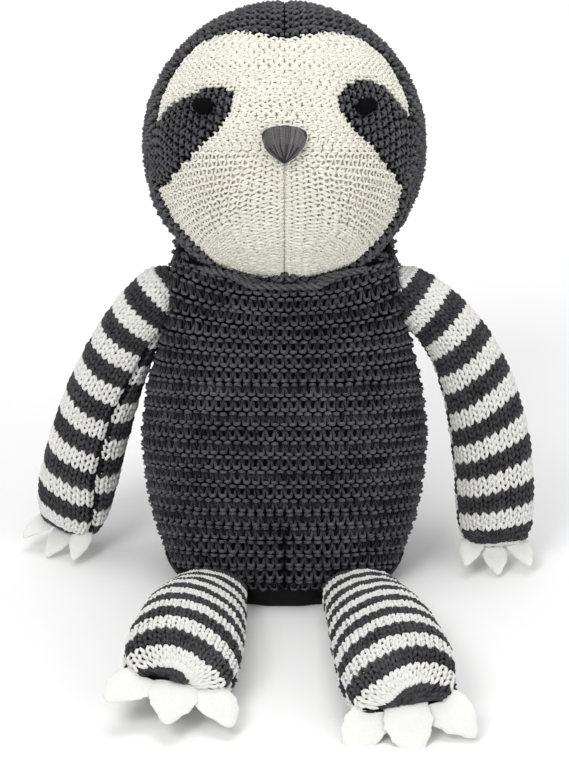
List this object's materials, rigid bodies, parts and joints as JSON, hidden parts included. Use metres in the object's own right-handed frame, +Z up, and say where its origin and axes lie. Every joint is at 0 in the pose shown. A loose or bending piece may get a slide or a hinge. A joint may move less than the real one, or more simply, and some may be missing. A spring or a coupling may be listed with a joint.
{
  "type": "plush sloth",
  "caption": "Seated plush sloth in ribbed dark knit, with a cream knitted face, stuffed striped arms and legs, and white felt claws sewn into the ends of the limbs.",
  "frame": {"origin": "on the flat underside of the base panel, on the toy's middle plane, under the torso", "axes": "+Z up, -Y the way that the toy faces, +X the toy's own left"},
  "size_m": [0.1943, 0.2357, 0.2111],
  "materials": {
    "ribbed_knit": "dark garter-ridged yarn knit",
    "face_knit": "cream fine knit",
    "striped_knit": "cream and dark striped stocking knit",
    "base_cloth": "plain black woven cloth",
    "claw_felt": "white wool felt",
    "nose_thread": "grey satin-stitch thread",
    "eye_thread": "black embroidery thread",
    "fibre_filling": "loose fibre",
    "pouch_cloth": "plain woven cloth round pellets"
  },
  "bodies": {
    "torso": {"body_front_panel": "ribbed_knit", "body_back_panel": "ribbed_knit", "base_panel": "base_cloth", "body_filling": "fibre_filling", "pellet_pouch": "pouch_cloth"},
    "neck": {"neck_seam_ring": "ribbed_knit"},
    "head": {"hood_left": "ribbed_knit", "hood_right": "ribbed_knit", "face_panel": "face_knit", "left_eye_patch": "ribbed_knit", "right_eye_patch": "ribbed_knit", "left_eye": "eye_thread", "right_eye": "eye_thread", "nose": "nose_thread", "head_filling": "fibre_filling"},
    "left_arm": {"left_arm_front_panel": "striped_knit", "left_arm_back_panel": "striped_knit", "left_arm_filling": "fibre_filling", "left_hand_claw_1": "claw_felt", "left_hand_claw_2": "claw_felt", "left_hand_claw_3": "claw_felt"},
    "left_leg": {"left_leg_top_panel": "striped_knit", "left_leg_sole_panel": "striped_knit", "left_leg_filling": "fibre_filling", "left_foot_claw_1": "claw_felt", "left_foot_claw_2": "claw_felt", "left_foot_claw_3": "claw_felt"},
    "right_arm": {"right_arm_front_panel": "striped_knit", "right_arm_back_panel": "striped_knit", "right_arm_filling": "fibre_filling", "right_hand_claw_1": "claw_felt", "right_hand_claw_2": "claw_felt", "right_hand_claw_3": "claw_felt"},
    "right_leg": {"right_leg_top_panel": "striped_knit", "right_leg_sole_panel": "striped_knit", "right_leg_filling": "fibre_filling", "right_foot_claw_1": "claw_felt", "right_foot_claw_2": "claw_felt", "right_foot_claw_3": "claw_felt"}
  },
  "joints": [
    {"name": "neck_turn", "type": "hinge", "parent": "torso", "child": "neck", "pos_m": [0, 0.038, 0.158], "axis": [0, 0.309, 0.9511], "range_deg": [-40, 40], "stiffness_Nm_per_rad": 0.1},
    {"name": "head_nod", "type": "hinge", "parent": "neck", "child": "head", "pos_m": [0, 0.038, 0.158], "axis": [1, 0, 0], "range_deg": [-15, 20], "stiffness_Nm_per_rad": 0.1},
    {"name": "left_shoulder_raise", "type": "hinge", "parent": "torso", "child": "left_arm", "pos_m": [0.046, 0.03, 0.102], "axis": [0, -1, 0], "range_deg": [0, 70]},
    {"name": "right_shoulder_raise", "type": "hinge", "parent": "torso", "child": "right_arm", "pos_m": [-0.046, 0.03, 0.102], "axis": [0, 1, 0], "range_deg": [0, 70]},
    {"name": "left_hip_lift", "type": "hinge", "parent": "torso", "child": "left_leg", "pos_m": [0.028, -0.031, 0.0075], "axis": [-1, 0, 0], "range_deg": [-60, 32]},
    {"name": "right_hip_lift", "type": "hinge", "parent": "torso", "child": "right_leg", "pos_m": [-0.028, -0.031, 0.0075], "axis": [-1, 0, 0], "range_deg": [-60, 32]}
  ]
}
